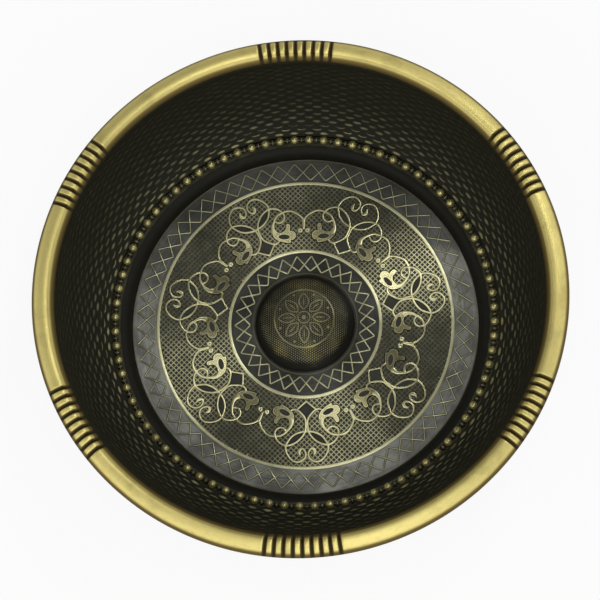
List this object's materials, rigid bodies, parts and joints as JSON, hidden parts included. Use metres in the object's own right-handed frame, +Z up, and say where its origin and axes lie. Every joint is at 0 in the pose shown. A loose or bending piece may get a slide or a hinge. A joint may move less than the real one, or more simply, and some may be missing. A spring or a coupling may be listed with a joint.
{
  "type": "hammam bowl",
  "caption": "Shallow round brass washing bowl: notched rolled rim, dimpled curved wall, beaded stepped base, patterned medallion floor and domed central boss; stands free on a flat base.",
  "frame": {"origin": "centre of the flat base, on the surface that the bowl stands on", "axes": "+Z up along the bowl's axis; -Y passes through the middle of one group of rim grooves"},
  "size_m": [0.19, 0.19, 0.0483],
  "materials": {
    "polished_brass": "satin polished brass with dark grooves",
    "core_wire": "bright drawn wire",
    "antiqued_wall": "blackened brass with rubbed high spots",
    "blackened_base": "black patina, smooth",
    "bead_brass": "rubbed brass beads",
    "antiqued_floor": "grey patina with raised brass lines",
    "antiqued_boss": "stippled brass with dark patina"
  },
  "bodies": {
    "root": {"rim_roll": "polished_brass", "rim_wire": "core_wire", "wall_shell": "antiqued_wall", "base_pan": "blackened_base", "bead_ring": "bead_brass", "floor_medallion": "antiqued_floor", "boss": "antiqued_boss"}
  },
  "joints": []
}
